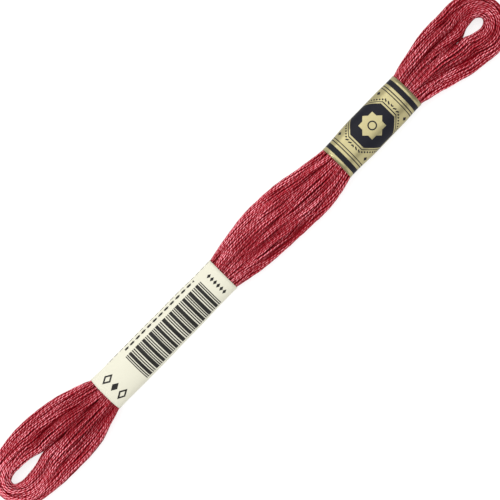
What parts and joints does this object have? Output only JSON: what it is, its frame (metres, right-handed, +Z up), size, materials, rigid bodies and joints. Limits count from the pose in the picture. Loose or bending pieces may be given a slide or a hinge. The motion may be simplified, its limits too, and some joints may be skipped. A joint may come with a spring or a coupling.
{
  "type": "skein of embroidery floss",
  "caption": "Looped skein of stranded embroidery floss, drawn in by a long and a short paper band, with an eye in each end; thread is pulled off for hand stitching.",
  "frame": {"origin": "middle of the skein's length and width, on the surface it lies on", "axes": "+X runs along the skein toward the loop beside the short band, +Y runs across it to the side where the middle swells out further, +Z is up"},
  "size_m": [0.166, 0.0182, 0.006],
  "materials": {
    "floss": "mercerised cotton, satin sheen",
    "long_band_paper": "smooth cream paper with dark print",
    "short_band_paper": "gold metallic paper with dark blue print"
  },
  "bodies": {
    "root": {"skein": "floss", "long_band": "long_band_paper", "short_band": "short_band_paper"}
  },
  "joints": []
}
